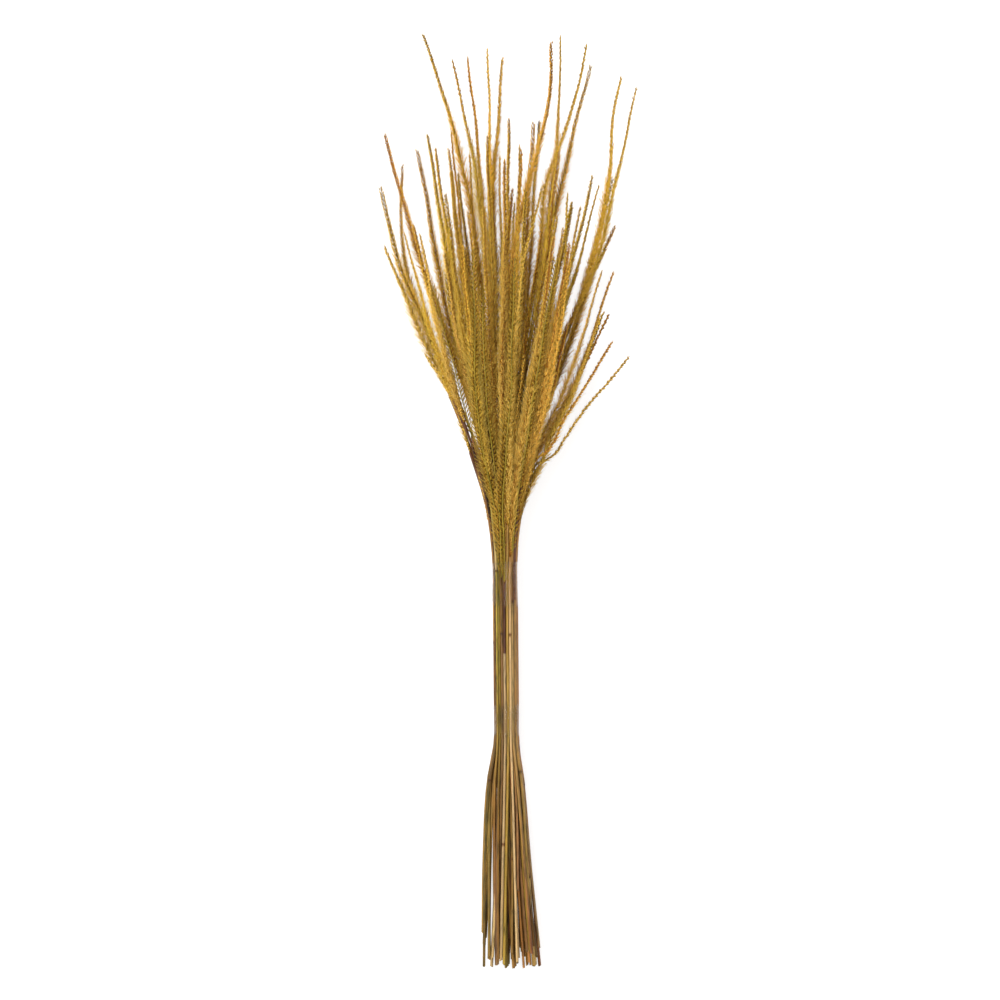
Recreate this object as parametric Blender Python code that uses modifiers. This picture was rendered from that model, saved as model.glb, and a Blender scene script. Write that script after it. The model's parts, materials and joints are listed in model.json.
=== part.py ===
"""A bunch of dried golden grass, lying on a table.

Fifty-eight grass stems, each grown as one piece from its cut end to the tip of its spike, are
held by two clear film bands. The bunch lies along Y with its spikes towards +Y, rests on its
lowest cut ends and lowest spikes at Z = 0, and has its origin at the middle of its underside.
"""
import math

import bpy
import numpy as np
from mathutils import Vector

MM = 0.001
COLLECTION_NAME = "golden_grass_bunch"

# Driving dimensions of the bunch, in millimetres. Y runs from the line of the cut ends.
BUNCH_LENGTH = 700.0
HEAD_HALF_DEPTH = 46.0
TIE_RADIUS = 9.35
FOOT_HALF_WIDTH = 20.5
FOOT_HALF_DEPTH = 12.5
NECK_HALF_WIDTH = 14.5
NECK_Y = 345.0
LOWER_BAND = (175.0, 198.0)
UPPER_BAND = (272.0, 305.0)
BAND_THICKNESS = 0.4
BAND_SIDES = 32
GAP = 0.3

# One stem: a thin culm, then the spike, as radii in millimetres. The spike's radii go with
# shares of its length.
CULM_RADIUS_FOOT = 1.05
CULM_RADIUS_TIE = 0.90
CULM_RADIUS_TOP = 0.75
SPIKE_SHARES = (0.0, 0.3, 0.65, 0.88, 1.0)
SPIKE_RADII = (0.95, 1.75, 1.75, 1.2, 0.45)

# The bunch's middle line and half depth: along, across, height above the table, half depth.
SECTIONS = (
    (0.0, 3.5, 12.5, FOOT_HALF_DEPTH),
    (165.0, 1.2, 20.0, TIE_RADIUS),
    (315.0, -0.2, 24.0, TIE_RADIUS),
    (NECK_Y, -0.5, 25.5, 12.5),
    (385.0, 0.5, 27.5, 18.0),
    (430.0, 2.0, 29.5, 27.5),
    (480.0, 3.0, 32.0, 38.0),
    (530.0, 2.0, 34.0, 44.5),
    (585.0, 2.0, 35.0, HEAD_HALF_DEPTH),
    (640.0, 2.0, 35.5, 44.0),
    (BUNCH_LENGTH, 2.0, 36.5, 40.0),
)
SECTION_Y, SECTION_X, SECTION_Z, SECTION_DEPTH = zip(*SECTIONS)
HEAD_Y = 430.0

# Places along Y where a stem has a point of its centre line.
STATIONS = (85.0, 142.0, 172.0, 201.0, 269.0, 308.0, 345.0, 385.0, 430.0, 480.0, 530.0, 585.0, 640.0)
STATION_CLEARANCE = 22.0

# Every stem: its rise in the head (-1 at the underside, 1 on top), the length of its spike, and
# its route through the head as (across, along) places, the last one being the tip.
STEMS = (
    (-0.50, 205, ((-50, 667), (-62, 700))),
    (0.10, 195, ((-27, 622), (-39, 678))),
    (-0.30, 200, ((-19, 594), (-22, 633), (-28, 682))),
    (-0.05, 190, ((-13, 687),)),
    (-0.75, 200, ((-10, 565), (-6, 622), (-2, 684))),
    (0.30, 205, ((21, 595), (26, 608), (32, 643), (34, 690))),
    (-0.50, 200, ((38, 614), (41, 658), (42, 699))),
    (0.00, 205, ((29, 559), (34, 602), (47, 633), (61, 690))),
    (-0.70, 195, ((36, 559), (51, 625), (65, 678))),
    (0.20, 185, ((67, 536), (77, 591), (80, 636), (86, 665))),
    (-0.45, 190, ((69, 532), (83, 588), (93, 636), (98, 660))),
    (0.15, 190, ((-63, 532), (-78, 581), (-90, 623))),
    (-0.55, 180, ((-75, 529), (-82, 559), (-79, 576), (-77, 603))),
    (-0.20, 170, ((-80, 532), (-89, 562), (-93, 585))),
    (-0.75, 190, ((-66, 615),)),
    (0.30, 190, ((-57, 622),)),
    (-0.25, 180, ((-52, 614),)),
    (0.00, 175, ((-42, 613),)),
    (-0.85, 195, ((-41, 629),)),
    (-0.60, 185, ((-27, 611),)),
    (0.60, 190, ((-40, 593),)),
    (0.45, 195, ((-13, 620),)),
    (0.20, 195, ((3, 634),)),
    (-0.40, 185, ((11, 617),)),
    (0.60, 190, ((12, 609),)),
    (0.80, 190, ((0, 601),)),
    (-0.15, 190, ((21, 633),)),
    (-0.85, 195, ((26, 637),)),
    (0.80, 185, ((15, 579),)),
    (0.90, 250, ((15, 532), (18, 545), (28, 582))),
    (0.65, 190, ((44, 533), (41, 553), (46, 577))),
    (0.40, 185, ((53, 541), (57, 560), (65, 591))),
    (-0.20, 180, ((56, 533), (65, 567), (70, 586))),
    (0.05, 175, ((80, 591),)),
    (-0.60, 175, ((72, 533), (77, 543), (83, 557))),
    (0.00, 112, ((-27, 392), (-61, 472), (-76, 505), (-85, 528), (-90, 540))),
    (0.55, 125, ((-74, 549),)),
    (0.75, 135, ((-68, 554),)),
    (0.90, 138, ((-63, 547),)),
    (0.85, 190, ((-44, 576),)),
    (0.95, 190, ((-32, 539),)),
    (0.95, 236, ((36, 544),)),
    (0.80, 180, ((43, 551),)),
    (0.90, 180, ((47, 540),)),
    (0.95, 185, ((48, 529),)),
    (0.50, 150, ((72, 521),)),
    (-0.10, 155, ((81, 521),)),
    (0.25, 130, ((50, 432), (74, 491))),
    (0.70, 150, ((70, 487),)),
    (0.35, 75, ((-26, 386), (-36, 423), (-44, 435), (-53, 449), (-60, 460))),
    (0.95, 205, ((-21, 418), (-22, 477), (-23, 536))),
    (1.00, 212, ((-9, 381), (-15, 450), (-17, 507))),
    (1.00, 215, ((11, 373), (19, 425), (38, 528))),
    (1.00, 236, ((4, 425), (7, 528))),
    (0.95, 112, ((-19, 373), (-32, 425), (-54, 510))),
)

# Three stems hang out of the right side of the neck on a bend: their rise there, spike length,
# and the places after the neck as (across, along, height above the bunch's middle line).
BENT_STEMS = (
    (0.25, 100, ((19, 374, 4), (22, 382, 5), (29, 386, 6), (35, 393, 7), (42, 410, 8),
                 (53, 427, 9), (66, 446, 10), (80, 469, 10))),
    (0.05, 95, ((19, 371, 0), (22, 378, 0), (30, 381, 0), (36, 385, 1), (44, 397, 2),
                (65, 426, 2), (78, 441, 2), (93, 458, 1))),
    (-0.20, 115, ((16, 361, -4), (23, 373, -6), (29, 382, -7), (31, 394, -7), (35, 404, -7),
                  (50, 434, -8), (65, 462, -8), (78, 490, -8))),
)

# Stems cut shorter than the rest, by stem number, as the Y of the cut.
SHORT_CUTS = {43: 59.0, 50: 25.0, 14: 22.0, 31: 18.0}
CUT_SPREAD = 17.0
FOOT_SHUFFLE = 0.3

# Just below the lower band the stems on the left kick outwards.
KICK_Y = 142.0
KICK = 3.0

# The lean of the outermost stems after the neck, and how far a plain stem bows outwards.
WIDEST_LEAN = 0.55
BOW = 0.07
SEED = 11


def section(values, y):
    """A value of the bunch's section at Y."""
    return float(np.interp(y, SECTION_Y, values))


def smooth_through(knots_y, knots, y):
    """Cubic curve through knots along Y, without overshoot beside a flat stretch."""
    knots_y = np.asarray(knots_y, float)
    knots = np.asarray(knots, float)
    steps = np.diff(knots_y)
    rises = np.diff(knots) / steps
    slopes = np.empty(len(knots))
    slopes[0] = rises[0]
    slopes[-1] = rises[-1]
    slopes[1:-1] = (rises[:-1] * steps[1:] + rises[1:] * steps[:-1]) / (steps[1:] + steps[:-1])
    k = int(np.clip(np.searchsorted(knots_y, y) - 1, 0, len(steps) - 1))
    t = (y - knots_y[k]) / steps[k]
    h = steps[k]
    return ((2 * t ** 3 - 3 * t ** 2 + 1) * knots[k] + (t ** 3 - 2 * t ** 2 + t) * h * slopes[k]
            + (3 * t ** 2 - 2 * t ** 3) * knots[k + 1] + (t ** 3 - t ** 2) * h * slopes[k + 1])


def pack_slots(wanted, radius, spacing, rounds=4000):
    """Places for the culms inside the round tie, near where each wants to be, none touching."""
    places = np.array(wanted, float)
    for _ in range(rounds):
        offsets = places[:, None, :] - places[None, :, :]
        distances = np.linalg.norm(offsets, axis=2)
        np.fill_diagonal(distances, spacing)
        lack = np.clip(spacing - distances, 0.0, None)
        pushes = offsets / np.maximum(distances, 1e-6)[:, :, None] * lack[:, :, None]
        places += 0.35 * pushes.sum(axis=1)
        reach = np.linalg.norm(places, axis=1)
        over = np.maximum(reach / radius, 1.0)
        places /= over[:, None]
    return places


def head_lean(route):
    """How far a stem leans sideways after the neck, from -1 to 1."""
    tip_x, tip_y = route[-1]
    lean = (tip_x - section(SECTION_X, NECK_Y)) / (tip_y - NECK_Y)
    return float(np.clip(lean / WIDEST_LEAN, -0.98, 0.98))


def radius_at(y, tip_y, spike_length):
    """Radius of a stem at Y: a thin culm, then the spike, which tapers to its tip."""
    spike_base = tip_y - spike_length
    if y > spike_base:
        return float(np.interp((y - spike_base) / spike_length, SPIKE_SHARES, SPIKE_RADII))
    knots = (0.0, LOWER_BAND[0], UPPER_BAND[1], max(spike_base, UPPER_BAND[1] + 1.0))
    sizes = (CULM_RADIUS_FOOT, CULM_RADIUS_TIE, CULM_RADIUS_TIE, CULM_RADIUS_TOP)
    return float(np.interp(y, knots, sizes))


def height_at(y, slot, side, foot):
    """Height of a stem's centre line at Y: its cut end, its slot in the ties, then the head."""
    if y < LOWER_BAND[0]:
        in_tie = section(SECTION_Z, LOWER_BAND[0]) + slot[1]
        return float(np.interp(y, (foot[1], LOWER_BAND[0]), (foot[2], in_tie)))
    blend = float(np.interp(y, (UPPER_BAND[1], HEAD_Y), (0.0, 1.0)))
    blend = blend * blend * (3.0 - 2.0 * blend)
    share = (1.0 - blend) * slot[1] / TIE_RADIUS + blend * side
    return section(SECTION_Z, y) + section(SECTION_DEPTH, y) * share


def stem_points(slot, foot, rise, spike_length, route, bend=None):
    """Centre line and radii of one stem, from its cut end to its tip."""
    tip_x, tip_y = route[-1]
    neck_x = section(SECTION_X, NECK_Y) + slot[0] / TIE_RADIUS * NECK_HALF_WIDTH
    band_x = section(SECTION_X, LOWER_BAND[0]) + slot[0]
    kick_x = float(np.interp(KICK_Y, (foot[1], LOWER_BAND[0]), (foot[0], band_x)))
    knots = [(foot[1], foot[0]), (KICK_Y, kick_x - KICK * max(-slot[0] / TIE_RADIUS, 0.0) ** 2)]
    knots += [(y, section(SECTION_X, y) + slot[0]) for y in LOWER_BAND + UPPER_BAND]
    knots.append((NECK_Y, neck_x))
    if len(route) == 1:
        knots.append((0.5 * (NECK_Y + tip_y), neck_x + (0.5 + BOW) * (tip_x - neck_x)))
    knots += [(y, x) for x, y in route]
    knots_y, knots_x = zip(*knots)
    last = NECK_Y if bend else tip_y - STATION_CLEARANCE
    ys = [foot[1]]
    ys += [y for y in STATIONS if foot[1] + STATION_CLEARANCE < y <= last]
    if bend is None:
        ys.append(tip_y)
    lean = head_lean(route)
    side = rise * math.sqrt(1.0 - lean * lean)
    points = [(smooth_through(knots_y, knots_x, y), y, height_at(y, slot, side, foot)) for y in ys]
    for x, y, height in bend or ():
        points.append((x, y, section(SECTION_Z, y) + height))
    points = np.array(points)
    radii = np.array([radius_at(y, tip_y, spike_length) for y in points[:, 1]])
    return points, radii


def closest_on_segments(a0, a1, b0, b1):
    """Where pairs of straight segments come closest, as the share of the way along each."""
    da = a1 - a0
    db = b1 - b0
    gap = a0 - b0
    aa = np.einsum("ij,ij->i", da, da)
    bb = np.einsum("ij,ij->i", db, db)
    ab = np.einsum("ij,ij->i", da, db)
    ag = np.einsum("ij,ij->i", da, gap)
    bg = np.einsum("ij,ij->i", db, gap)
    spread = np.maximum(aa * bb - ab * ab, 1e-9)
    s = np.clip((ab * bg - ag * bb) / spread, 0.0, 1.0)
    t = np.clip((ab * s + bg) / bb, 0.0, 1.0)
    s = np.clip((ab * t - ag) / aa, 0.0, 1.0)
    return s, t


def settle(stems, rounds=700):
    """Nudge the stems apart until none touches another, inside the ties and above the table."""
    owner = np.concatenate([np.full(len(points), k) for k, (points, _) in enumerate(stems)])
    places = np.concatenate([points for points, _ in stems])
    radii = np.concatenate([sizes for _, sizes in stems])
    starts = np.nonzero(owner[:-1] == owner[1:])[0]
    first, second = np.triu_indices(len(starts), 1)
    apart = owner[starts[first]] != owner[starts[second]]
    first, second = starts[first[apart]], starts[second[apart]]
    inner = np.nonzero((owner[:-2] == owner[2:]))[0] + 1
    bends = places[inner - 1] + places[inner + 1] - 2.0 * places[inner]
    in_tie = (places[:, 1] > LOWER_BAND[0] - 8.0) & (places[:, 1] < UPPER_BAND[1] + 8.0)
    tie_x = np.interp(places[:, 1], SECTION_Y, SECTION_X)
    tie_z = np.interp(places[:, 1], SECTION_Y, SECTION_Z)
    near = None
    for turn in range(rounds):
        if turn % 25 == 0:
            middle_a = 0.5 * (places[first] + places[first + 1])
            middle_b = 0.5 * (places[second] + places[second + 1])
            half_a = 0.5 * np.linalg.norm(places[first + 1] - places[first], axis=1)
            half_b = 0.5 * np.linalg.norm(places[second + 1] - places[second], axis=1)
            near = np.linalg.norm(middle_a - middle_b, axis=1) < half_a + half_b + 9.0
        one, two = first[near], second[near]
        s, t = closest_on_segments(places[one], places[one + 1], places[two], places[two + 1])
        spot_a = places[one] * (1.0 - s)[:, None] + places[one + 1] * s[:, None]
        spot_b = places[two] * (1.0 - t)[:, None] + places[two + 1] * t[:, None]
        reach = radii[one] * (1.0 - s) + radii[one + 1] * s
        reach += radii[two] * (1.0 - t) + radii[two + 1] * t
        offset = spot_a - spot_b
        distance = np.maximum(np.linalg.norm(offset, axis=1), 1e-5)
        lack = reach + GAP * 1.15 - distance
        hit = lack > 0.0
        push = (offset / distance[:, None] * lack[:, None])[hit] * np.array((1.0, 0.2, 1.0))
        moves = np.zeros_like(places)
        counts = np.zeros(len(places))
        for index, weight, sign in ((one[hit], 1.0 - s[hit], 1.0), (one[hit] + 1, s[hit], 1.0),
                                    (two[hit], 1.0 - t[hit], -1.0), (two[hit] + 1, t[hit], -1.0)):
            np.add.at(moves, index, sign * push * weight[:, None])
            np.add.at(counts, index, weight)
        places += 0.6 * moves / np.maximum(counts, 1.0)[:, None]
        curl = places[inner - 1] + places[inner + 1] - 2.0 * places[inner] - bends
        stiffness = 0.06 if turn < rounds - 200 else 0.0
        places[inner] += stiffness * curl * np.array((1.0, 0.0, 1.0))
        from_middle = np.stack((places[:, 0] - tie_x, places[:, 2] - tie_z), axis=1)
        wide = np.linalg.norm(from_middle, axis=1)
        allowed = TIE_RADIUS - radii
        squeeze = np.where(in_tie & (wide > allowed), allowed / np.maximum(wide, 1e-6), 1.0)
        places[:, 0] = tie_x + from_middle[:, 0] * squeeze
        places[:, 2] = tie_z + from_middle[:, 1] * squeeze
        places[:, 2] = np.maximum(places[:, 2], radii)
    settled = []
    for k in range(len(stems)):
        settled.append((places[owner == k], radii[owner == k]))
    return settled


def straw_material(name, colour):
    """Dull dry straw."""
    material = bpy.data.materials.new(name)
    material.use_nodes = True
    shader = material.node_tree.nodes["Principled BSDF"]
    shader.inputs["Base Color"].default_value = (*colour, 1.0)
    shader.inputs["Roughness"].default_value = 0.65
    shader.inputs["Metallic"].default_value = 0.0
    return material


def film_material(name):
    """Clear wrapping film."""
    material = bpy.data.materials.new(name)
    material.use_nodes = True
    shader = material.node_tree.nodes["Principled BSDF"]
    shader.inputs["Base Color"].default_value = (0.95, 0.95, 0.93, 1.0)
    shader.inputs["Roughness"].default_value = 0.15
    shader.inputs["Metallic"].default_value = 0.0
    shader.inputs["Transmission Weight"].default_value = 1.0
    return material


def stem_object(name, points, radii, collection, material):
    """One stem as a round tube of changing radius with filled ends."""
    curve = bpy.data.curves.new(name, "CURVE")
    curve.dimensions = "3D"
    curve.bevel_depth = MM
    curve.bevel_resolution = 1
    curve.use_fill_caps = True
    spline = curve.splines.new("POLY")
    spline.points.add(len(points) - 1)
    for point, place, radius in zip(spline.points, points, radii):
        point.co = (place[0] * MM, place[1] * MM, place[2] * MM, 1.0)
        point.radius = radius
    stem = bpy.data.objects.new(name, curve)
    curve.materials.append(material)
    collection.objects.link(stem)
    return stem


def band_object(name, span, radius, collection, material):
    """A clear band: an open tube round the stems, given its thickness outwards."""
    ends = [Vector((section(SECTION_X, y), y, section(SECTION_Z, y))) * MM for y in span]
    along = ends[1] - ends[0]
    bpy.ops.mesh.primitive_cylinder_add(
        vertices=BAND_SIDES, radius=radius * MM, depth=along.length, end_fill_type="NOTHING",
        location=0.5 * (ends[0] + ends[1]), rotation=along.to_track_quat("Z", "Y").to_euler())
    band = bpy.context.object
    band.name = name
    band.data.name = name
    solidify = band.modifiers.new("thickness", "SOLIDIFY")
    solidify.thickness = BAND_THICKNESS * MM
    solidify.offset = 1.0
    band.data.materials.append(material)
    for owner in list(band.users_collection):
        owner.objects.unlink(band)
    collection.objects.link(band)
    return band


def lay_out_stems():
    """Centre lines of all stems, packed in the ties and fanned out in the head."""
    random = np.random.default_rng(SEED)
    rows = [(rise, spike, route, None) for rise, spike, route in STEMS]
    rows += [(rise, spike, tuple((x, y) for x, y, _ in bend), bend)
             for rise, spike, bend in BENT_STEMS]
    wanted = []
    for rise, _, route, _ in rows:
        lean = head_lean(route)
        wanted.append((lean * TIE_RADIUS, rise * math.sqrt(1.0 - lean * lean) * TIE_RADIUS))
    spacing = 2.0 * CULM_RADIUS_TIE + GAP * 1.15
    slots = pack_slots(wanted, TIE_RADIUS - CULM_RADIUS_TIE, spacing)
    stems = []
    for number, (slot, (rise, spike, route, bend)) in enumerate(zip(slots, rows), start=1):
        turn = random.normal(0.0, FOOT_SHUFFLE, 2).clip(-0.5, 0.5)
        place = (np.array(slot) / TIE_RADIUS + turn).clip(-0.95, 1.1)
        foot = (section(SECTION_X, 0.0) + place[0] * FOOT_HALF_WIDTH,
                SHORT_CUTS.get(number, random.uniform(0.0, CUT_SPREAD)),
                section(SECTION_Z, 0.0) + place[1] * FOOT_HALF_DEPTH)
        stems.append(stem_points(slot, foot, rise, spike, route, bend))
    return settle(stems)


def move_origin_to_underside(objects):
    """Shift everything so that the origin is at the middle of the box's underside."""
    bpy.context.view_layer.update()
    graph = bpy.context.evaluated_depsgraph_get()
    corners = []
    for item in objects:
        mesh = item.evaluated_get(graph).to_mesh()
        places = np.empty(len(mesh.vertices) * 3)
        mesh.vertices.foreach_get("co", places)
        world = np.array(item.matrix_world)
        places = places.reshape(-1, 3) @ world[:3, :3].T + world[:3, 3]
        corners += [places.min(axis=0), places.max(axis=0)]
        item.evaluated_get(graph).to_mesh_clear()
    low = np.min(corners, axis=0)
    high = np.max(corners, axis=0)
    shift = np.array((0.5 * (low[0] + high[0]), 0.5 * (low[1] + high[1]), low[2]))
    for item in objects:
        item.location = [place - step for place, step in zip(item.location, shift)]
    bpy.context.view_layer.update()


def main():
    for item in list(bpy.data.objects):
        bpy.data.objects.remove(item, do_unlink=True)
    collection = bpy.data.collections.new(COLLECTION_NAME)
    bpy.context.scene.collection.children.link(collection)
    straw_colours = ((0.47, 0.29, 0.07), (0.36, 0.27, 0.09), (0.42, 0.24, 0.08), (0.22, 0.12, 0.07))
    objects = []
    for number, (points, radii) in enumerate(lay_out_stems(), start=1):
        name = f"grass_stem_{number:02d}"
        material = straw_material(f"straw_{number:02d}", straw_colours[number % 4])
        objects.append(stem_object(name, points, radii, collection, material))
    band_radius = TIE_RADIUS + GAP
    objects.append(band_object("lower_clear_band", LOWER_BAND, band_radius, collection,
                               film_material("lower_clear_film")))
    objects.append(band_object("upper_clear_band", UPPER_BAND, band_radius, collection,
                               film_material("upper_clear_film")))
    move_origin_to_underside(objects)


main()
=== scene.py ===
# %% [markdown]
# # A bunch of golden grass
#
# The bunch is about seventy centimetres of dried grass: straw stems held by two clear film
# bands, and slender bristly spikes that fan out above them. This lesson dresses the plain tubes
# of the model as culms with joints and hollow cut ends, and spikes of husks with fine bristles.

# %% Load the plain model
import json
import math
from functools import partial

import bpy
import numpy as np
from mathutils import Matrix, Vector
from mathutils.geometry import convex_hull_2d, delaunay_2d_cdt


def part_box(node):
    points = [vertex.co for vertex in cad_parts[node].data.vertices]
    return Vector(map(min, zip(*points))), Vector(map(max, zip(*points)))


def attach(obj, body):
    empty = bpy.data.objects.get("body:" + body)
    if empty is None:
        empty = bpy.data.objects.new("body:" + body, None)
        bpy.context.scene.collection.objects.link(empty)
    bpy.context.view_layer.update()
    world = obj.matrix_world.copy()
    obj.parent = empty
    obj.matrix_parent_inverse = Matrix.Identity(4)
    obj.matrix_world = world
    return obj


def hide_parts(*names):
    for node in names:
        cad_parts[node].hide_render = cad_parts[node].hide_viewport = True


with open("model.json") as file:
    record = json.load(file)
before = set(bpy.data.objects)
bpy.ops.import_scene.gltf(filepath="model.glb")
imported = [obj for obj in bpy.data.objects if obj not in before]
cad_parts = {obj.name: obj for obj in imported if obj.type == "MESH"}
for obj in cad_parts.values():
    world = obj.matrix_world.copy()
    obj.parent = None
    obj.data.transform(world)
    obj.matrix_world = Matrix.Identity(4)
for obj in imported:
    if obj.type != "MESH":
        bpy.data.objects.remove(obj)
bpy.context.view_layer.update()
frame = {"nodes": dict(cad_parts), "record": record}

MM = 0.001
solid_names = sorted(name for name in frame["nodes"] if name.startswith("grass_stem_"))
slot_of_node = {row["node"]: row["material_slot"] for row in frame["record"]["subparts"]}

# %% Two small helpers
def add_object(name, data):
    """A new object in the scene."""
    thing = bpy.data.objects.new(name, data)
    bpy.context.scene.collection.objects.link(thing)
    return thing


def set_inputs(node, values):
    """Set inputs of a shader node by name."""
    for name, value in values.items():
        node.inputs[name].default_value = value


print("helpers for objects and shader inputs")

# %% [markdown]
# ## The camera
#
# The picture looks straight down on the bunch from far away, so a long lens high above the
# table gives the same flat view. One of its pixels covers 0.743 mm of the table, which sets how
# much the lens takes in. The picture is square.

# %% Camera
MM_PER_PIXEL = 0.743
PHOTO_PIXELS = 1000
SENSOR = 36.0
CAMERA_HEIGHT = 2600.0
VIEW_HEIGHT = 34.0
VIEW_CENTRE = (-6.2, 0.8)

camera_data = bpy.data.cameras.new("camera")
camera_data.sensor_width = SENSOR
camera_data.lens = SENSOR * (CAMERA_HEIGHT - VIEW_HEIGHT) / (MM_PER_PIXEL * PHOTO_PIXELS)
camera_data.dof.use_dof = False
camera = add_object("camera", camera_data)
camera.location = Vector((*VIEW_CENTRE, CAMERA_HEIGHT)) * MM
bpy.context.scene.camera = camera
print("lens", round(camera_data.lens, 1), "mm")

# %% [markdown]
# ## Table and light
#
# Dried grass is matt, and it reads by the small shadows between husks and between culms, so the
# main lamp stands to the left. The pale bristles should stand out against a white ground without
# shadows. An opal sheet with a little light of its own gives that: it stays white between the
# stems. The plain Standard view keeps the straw's own colours.

# %% Lamps
LAMPS = {"key_light": ((-0.85, 0.5, 1.8), 0.9, 42.0),
         "fill_light": ((1.3, -0.3, 1.6), 1.4, 13.0),
         "top_light": ((-0.1, 0.1, 3.0), 1.0, 16.0)}

for name, (place, size, watts) in LAMPS.items():
    lamp = bpy.data.lights.new(name, "AREA")
    lamp.shape = "SQUARE"
    lamp.size = size
    lamp.energy = watts
    holder = add_object(name, lamp)
    holder.location = place
    holder.rotation_euler = (-Vector(place)).to_track_quat("-Z", "Y").to_euler()
print(len(LAMPS), "lamps")

# %% Room and view
WHITE = (1.0, 1.0, 1.0, 1.0)
ROOM_STRENGTH = 0.3

world = bpy.data.worlds.new("pale_room")
world.use_nodes = True
set_inputs(world.node_tree.nodes["Background"], {"Color": WHITE, "Strength": ROOM_STRENGTH})
bpy.context.scene.world = world
bpy.context.scene.view_settings.view_transform = "Standard"
print("room strength", ROOM_STRENGTH)

# %% Table
TABLE_GREY = (0.4, 0.4, 0.4, 1.0)
TABLE_ROUGHNESS = 0.85
TABLE_GLOW = 0.74
TABLE_HALF = 3.0

table_paint = bpy.data.materials.new("pale_table")
table_paint.use_nodes = True
set_inputs(table_paint.node_tree.nodes["Principled BSDF"],
           {"Base Color": TABLE_GREY, "Roughness": TABLE_ROUGHNESS, "Emission Color": WHITE,
            "Emission Strength": TABLE_GLOW})
table_mesh = bpy.data.meshes.new("table")
table_corners = [(x * TABLE_HALF, y * TABLE_HALF, 0.0) for x, y in ((-1, -1), (1, -1), (1, 1), (-1, 1))]
table_mesh.from_pydata(table_corners, [], [(0, 1, 2, 3)])
table_mesh.materials.append(table_paint)
add_object("table", table_mesh)
print("table", 2 * TABLE_HALF, "m wide")

# %% [markdown]
# ## Where the stems run
#
# The plain model holds each stem as a thin tube of rings. The rings can be read back by walking
# along the tube from its cut end: the six points nearest the cut are the first ring, the points
# joined to them are the next, and so on. The middle of each ring lies on the stem, and a smooth curve
# through the middles gives a line on which everything else is built.

# %% Rings of a plain tube
RING_SIDES = 6


def read_rings(node):
    """Middles and radii, in millimetres, of the rings of one stem, from its cut end to its tip."""
    mesh = frame["nodes"][node].data
    corners = np.empty(len(mesh.vertices) * 3)
    mesh.vertices.foreach_get("co", corners)
    corners = corners.reshape(-1, 3) / MM
    places, same = np.unique(corners.round(3), axis=0, return_inverse=True)
    same = same.ravel()
    joined = [set() for _ in places]
    for edge in mesh.edges:
        one, two = same[edge.vertices[0]], same[edge.vertices[1]]
        joined[one].add(two)
        joined[two].add(one)
    ring = set(np.argsort(places[:, 1])[:RING_SIDES].tolist())
    seen = set(ring)
    middles = []
    radii = []
    while ring:
        spots = places[sorted(ring)]
        middles.append(spots.mean(axis=0))
        radii.append(np.linalg.norm(spots - middles[-1], axis=1).mean())
        ring = {other for corner in ring for other in joined[corner]} - seen
        seen |= ring
    return np.array(middles), np.array(radii)


rings = {node: read_rings(node) for node in solid_names}
print(sum(len(radii) for _, radii in rings.values()), "rings")

# %% Smooth lines through the rings
LINE_STEP = 1.0
FEWEST_POINTS = 8


def smooth_line(knots):
    """A smooth curve through the knots, as points a fixed step apart."""
    gaps = np.linalg.norm(np.diff(knots, axis=0), axis=1)
    at = np.concatenate(([0.0], np.cumsum(gaps)))
    slopes = np.empty_like(knots)
    rises = np.diff(knots, axis=0) / gaps[:, None]
    slopes[0] = rises[0]
    slopes[-1] = rises[-1]
    share = (gaps[:-1] / (gaps[:-1] + gaps[1:]))[:, None]
    slopes[1:-1] = rises[:-1] * (1.0 - share) + rises[1:] * share
    wanted = np.linspace(0.0, at[-1], max(int(at[-1] / LINE_STEP), FEWEST_POINTS))
    knot = np.clip(np.searchsorted(at, wanted, side="right") - 1, 0, len(gaps) - 1)
    gap = gaps[knot][:, None]
    t = ((wanted - at[knot]) / gaps[knot])[:, None]
    return (knots[knot] * (2 * t ** 3 - 3 * t ** 2 + 1) + knots[knot + 1] * (3 * t ** 2 - 2 * t ** 3)
            + gap * slopes[knot] * (t ** 3 - 2 * t ** 2 + t) + gap * slopes[knot + 1] * (t ** 3 - t ** 2))


lines = {node: smooth_line(middles) for node, (middles, _) in rings.items()}
print("lines of", sum(len(line) for line in lines.values()), "points")

# %% [markdown]
# ## Straw, as a shader
#
# Culm, husk and bristle are all straw: fine streaks run lengthwise, slow blotches change the
# colour, and dry specks darken it. The three materials share one node group for that. Each mesh
# carries two attributes that feed it. "tint" is the colour a maker would paint, and "grain" is a
# place on the stem, with the streaks' direction as its second number, so streaks follow every
# bend and never show a seam.

# %% Shader helpers
NOISE_ROUGHNESS = 0.55


def new_socket(group, name, kind, value=None, output=False):
    """Add a named input or output to a shader group."""
    way = "OUTPUT" if output else "INPUT"
    socket = group.interface.new_socket(name=name, in_out=way, socket_type=kind)
    if value is not None:
        socket.default_value = value
    return socket


def math_node(tree, operation, first, second, clamp=False):
    """A Math node with sockets or numbers as its two inputs."""
    node = tree.nodes.new("ShaderNodeMath")
    node.operation = operation
    node.use_clamp = clamp
    for socket, value in zip(node.inputs, (first, second)):
        if isinstance(value, (int, float)):
            socket.default_value = value
        else:
            tree.links.new(value, socket)
    return node.outputs[0]


def amount_over(tree, value, threshold, gain, mask):
    """How far a value is over a threshold, times a gain and a mask, kept between 0 and 1."""
    over = math_node(tree, "SUBTRACT", value, threshold, True)
    return math_node(tree, "MULTIPLY", math_node(tree, "MULTIPLY", over, gain, True), mask, True)


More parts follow.
